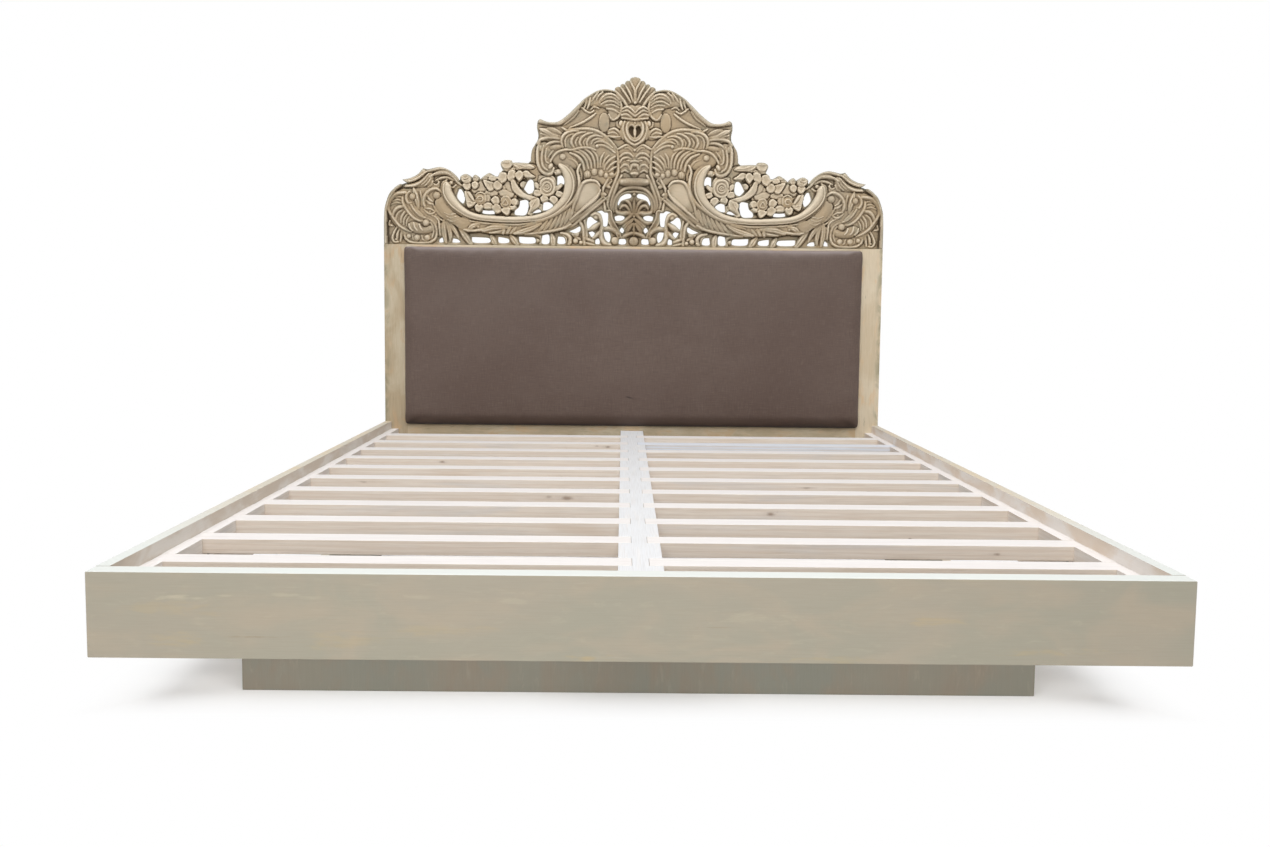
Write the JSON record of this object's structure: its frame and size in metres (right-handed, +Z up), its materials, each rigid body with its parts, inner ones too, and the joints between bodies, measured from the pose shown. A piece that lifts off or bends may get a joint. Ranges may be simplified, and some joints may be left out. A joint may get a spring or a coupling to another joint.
{
  "type": "bed frame",
  "caption": "Platform bed frame on a recessed plinth, with a slatted deck, an upholstered headboard and a pierced, carved crest.",
  "frame": {"origin": "on the floor, below the middle of the bed's box", "axes": "+X across the bed to the sleeper's left as they lie on their back, +Y from the foot to the headboard, +Z up"},
  "size_m": [1.99, 2.132, 1.684],
  "materials": {
    "washed_wood": "whitewashed solid wood with a greige stain, matt, lightly rubbed",
    "deck_wood": "limed softwood with knots, sawn and matt",
    "carved_wood": "hand-carved wood, limed, with dark recesses and rubbed high points",
    "upholstery": "smooth brown faux leather with a fine linen grain",
    "steel": "zinc-plated steel"
  },
  "bodies": {
    "root": {"foot_rail": "washed_wood", "side_rail_left": "washed_wood", "side_rail_right": "washed_wood", "ledge_left": "deck_wood", "ledge_right": "deck_wood", "centre_beam": "deck_wood", "slat_left_01": "deck_wood", "slat_left_02": "deck_wood", "slat_left_03": "deck_wood", "slat_left_04": "deck_wood", "slat_left_05": "deck_wood", "slat_left_06": "deck_wood", "slat_left_07": "deck_wood", "slat_left_08": "deck_wood", "slat_left_09": "deck_wood", "slat_left_10": "deck_wood", "slat_left_11": "deck_wood", "slat_right_01": "deck_wood", "slat_right_02": "deck_wood", "slat_right_03": "deck_wood", "slat_right_04": "deck_wood", "slat_right_05": "deck_wood", "slat_right_06": "deck_wood", "slat_right_07": "deck_wood", "slat_right_08": "deck_wood", "slat_right_09": "deck_wood", "slat_right_10": "deck_wood", "slat_right_11": "deck_wood", "bearer_01": "deck_wood", "bearer_02": "deck_wood", "bearer_03": "deck_wood", "bearer_04": "deck_wood", "plinth_front": "washed_wood", "plinth_back": "washed_wood", "plinth_left": "washed_wood", "plinth_right": "washed_wood", "plinth_centre": "deck_wood", "plinth_blocks": "deck_wood", "corner_block_foot_left": "deck_wood", "corner_block_foot_right": "deck_wood", "corner_block_head_left": "deck_wood", "corner_block_head_right": "deck_wood", "post_left": "washed_wood", "post_right": "washed_wood", "top_rail": "washed_wood", "bottom_rail": "washed_wood", "back_panel": "deck_wood", "cushion_board": "deck_wood", "cushion": "upholstery", "crest": "carved_wood", "headboard_bolts": "steel", "headboard_nuts": "steel", "ledge_screws": "steel", "crest_dowels": "deck_wood"}
  },
  "joints": []
}
